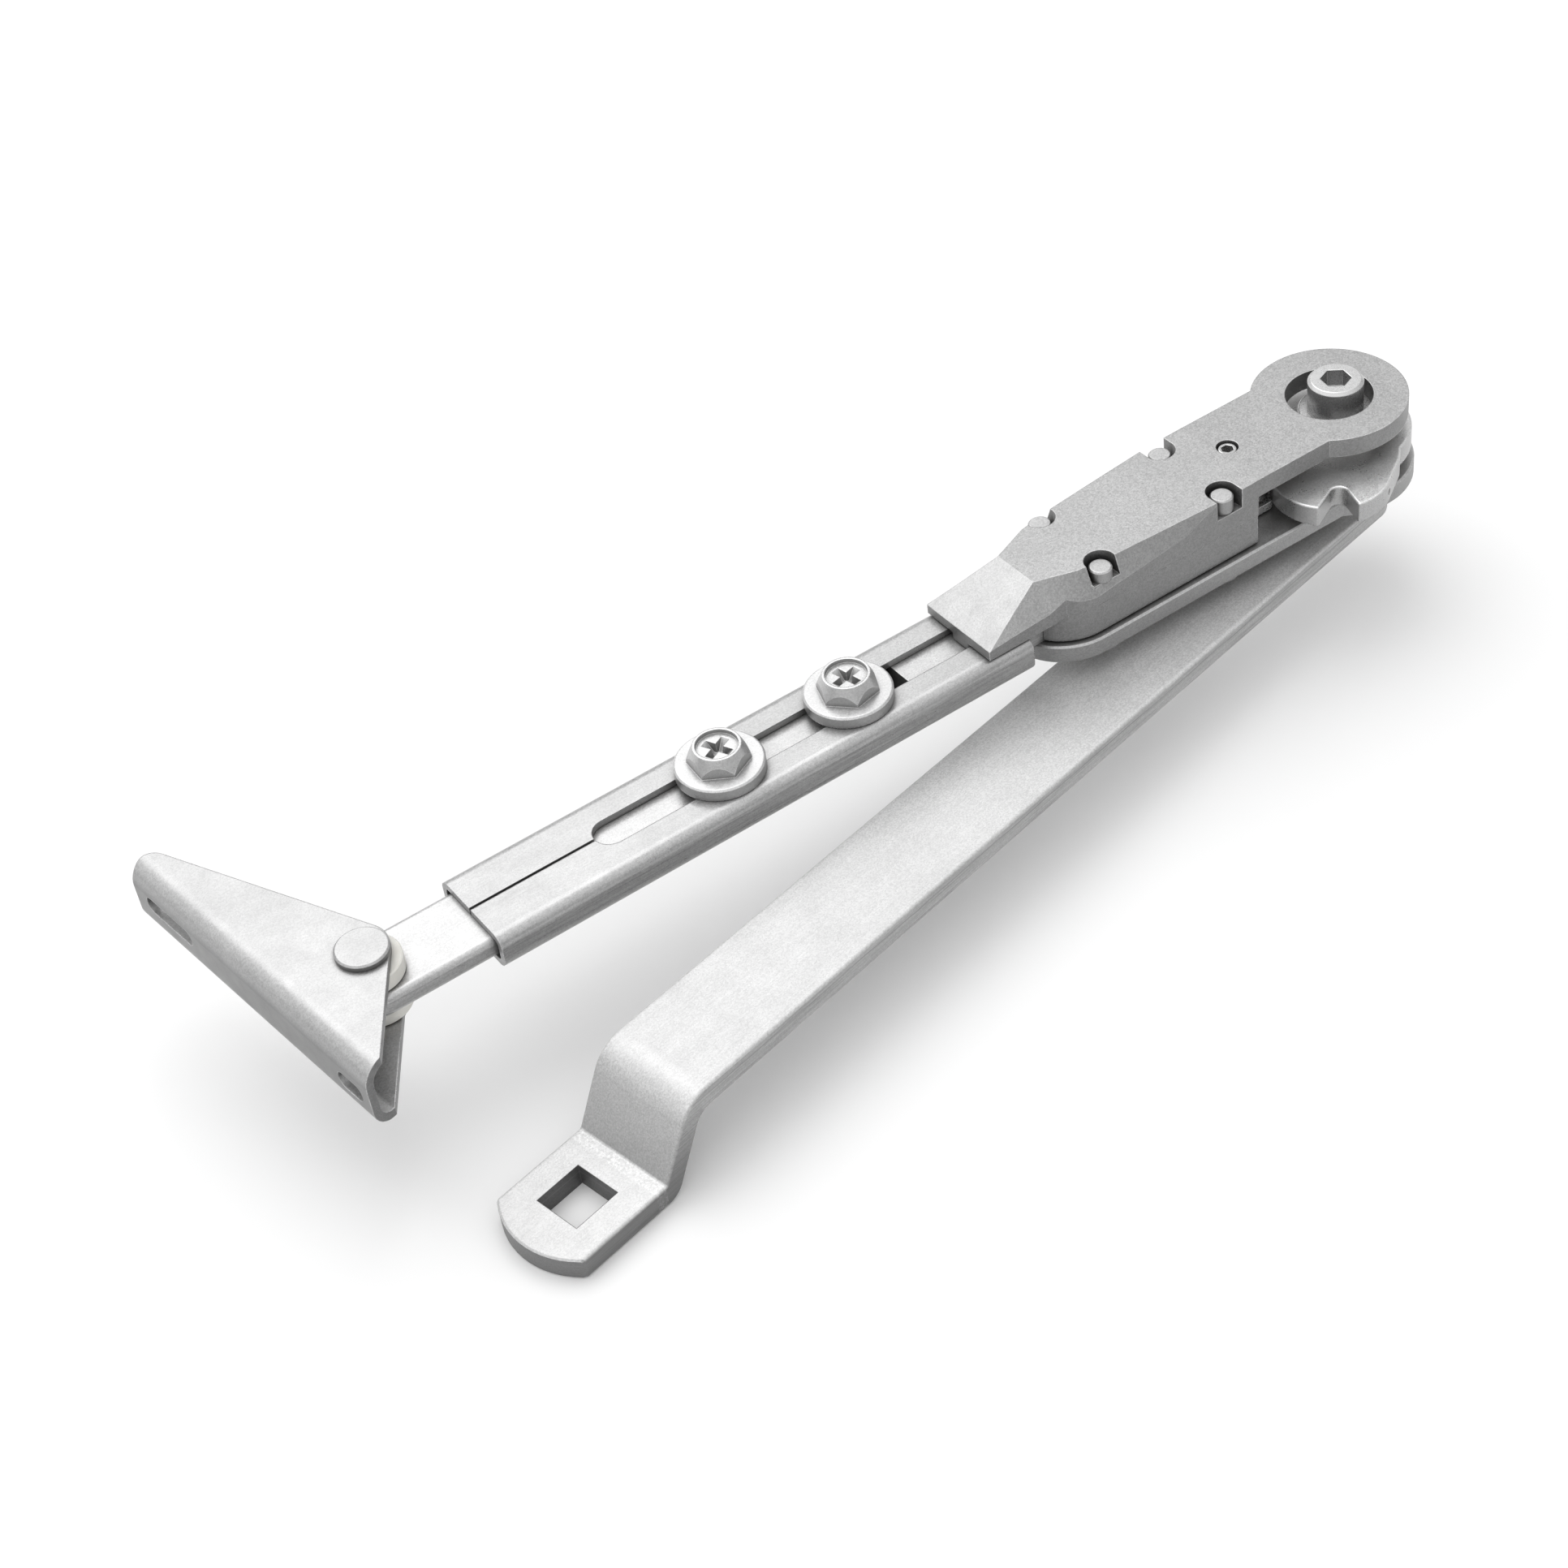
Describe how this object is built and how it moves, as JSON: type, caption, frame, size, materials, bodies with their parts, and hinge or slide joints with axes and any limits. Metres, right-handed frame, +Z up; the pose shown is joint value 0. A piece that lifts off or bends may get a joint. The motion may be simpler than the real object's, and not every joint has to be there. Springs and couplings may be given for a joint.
{
  "type": "door closer hold-open arm",
  "caption": "Folding elbow arm for an overhead door closer: joggled main arm, hold-open cam elbow, length-adjustable forearm and frame shoe.",
  "frame": {"origin": "centre of the square spindle hole, on the end plate's underside", "axes": "+X along the main arm towards the elbow, +Z up, parallel to every pivot"},
  "size_m": [0.2931, 0.1355, 0.0523],
  "materials": {
    "silver_coat": "fine metallic silver powder coat, satin",
    "zinc_steel": "zinc plated, satin",
    "bright_steel": "ground and bright",
    "spring_steel": "oiled spring wire",
    "nylon": "natural white nylon"
  },
  "bodies": {
    "arm": {"main_arm": "silver_coat", "pivot_hub": "zinc_steel", "cam_spacer": "nylon", "clamp_collar": "zinc_steel", "flat_washer": "zinc_steel"},
    "cam": {"hold_open_cam": "silver_coat"},
    "pivot_screw": {"cap_screw": "zinc_steel"},
    "forearm": {"elbow_cover": "silver_coat", "lower_plate": "silver_coat", "pivot_bush": "nylon", "cover_rivets": "silver_coat", "forearm_channel": "silver_coat", "joint_bar": "zinc_steel", "spring_seat": "zinc_steel", "detent_spring": "spring_steel"},
    "plunger": {"detent_plunger": "zinc_steel", "roller_pin": "bright_steel"},
    "roller": {"detent_roller": "bright_steel"},
    "lock_screw": {"set_screw": "bright_steel"},
    "rod": {"slide_rod": "silver_coat"},
    "inner_clamp": {"inner_clamp_screw": "silver_coat"},
    "outer_clamp": {"outer_clamp_screw": "silver_coat"},
    "shoe": {"shoe_bracket": "silver_coat", "shoe_rivet": "silver_coat", "upper_washer": "nylon", "lower_washer": "nylon"}
  },
  "joints": [
    {"name": "elbow", "type": "hinge", "parent": "arm", "child": "forearm", "pos_m": [0.2526, 0, 0.0287], "axis": [0, 0, 1], "range_deg": [-150, 0]},
    {"name": "cam_setting", "type": "hinge", "parent": "arm", "child": "cam", "pos_m": [0.2526, 0, 0.0371], "axis": [0, 0, 1], "range_deg": [0, 180]},
    {"name": "pivot_screw_turn", "type": "hinge", "parent": "arm", "child": "pivot_screw", "pos_m": [0.2526, 0, 0.048], "axis": [0, 0, 1], "continuous": true},
    {"name": "plunger_slide", "type": "slide", "parent": "forearm", "child": "plunger", "axis": [-0.9789, 0.2045, 0], "range_m": [0, 0.0099], "stiffness_N_per_m": 1500, "springref_m": -0.008, "deforming": ["detent_spring"]},
    {"name": "roller_spin", "type": "hinge", "parent": "plunger", "child": "roller", "pos_m": [0.22602, 0.00555, 0.037], "axis": [0, 0, 1], "continuous": true},
    {"name": "lock_screw_turn", "type": "hinge", "parent": "forearm", "child": "lock_screw", "pos_m": [0.22143, 0.00728, 0.046], "axis": [0, 0, 1], "continuous": true},
    {"name": "length_slide", "type": "slide", "parent": "forearm", "child": "rod", "axis": [-0.9789, 0.2045, 0], "range_m": [-0.0032, 0.0275]},
    {"name": "inner_clamp_turn", "type": "hinge", "parent": "rod", "child": "inner_clamp", "pos_m": [0.11615, 0.02851, 0.04], "axis": [0, 0, 1], "continuous": true},
    {"name": "outer_clamp_turn", "type": "hinge", "parent": "rod", "child": "outer_clamp", "pos_m": [0.08345, 0.03534, 0.04], "axis": [0, 0, 1], "continuous": true},
    {"name": "shoe_pivot", "type": "hinge", "parent": "rod", "child": "shoe", "pos_m": [-0.00044, 0.05286, 0.03385], "axis": [0, 0, 1], "range_deg": [-90, 90]}
  ],
  "couplings": [
    {"joint": "roller_spin", "follows": "elbow", "ratio": 3.48}
  ]
}
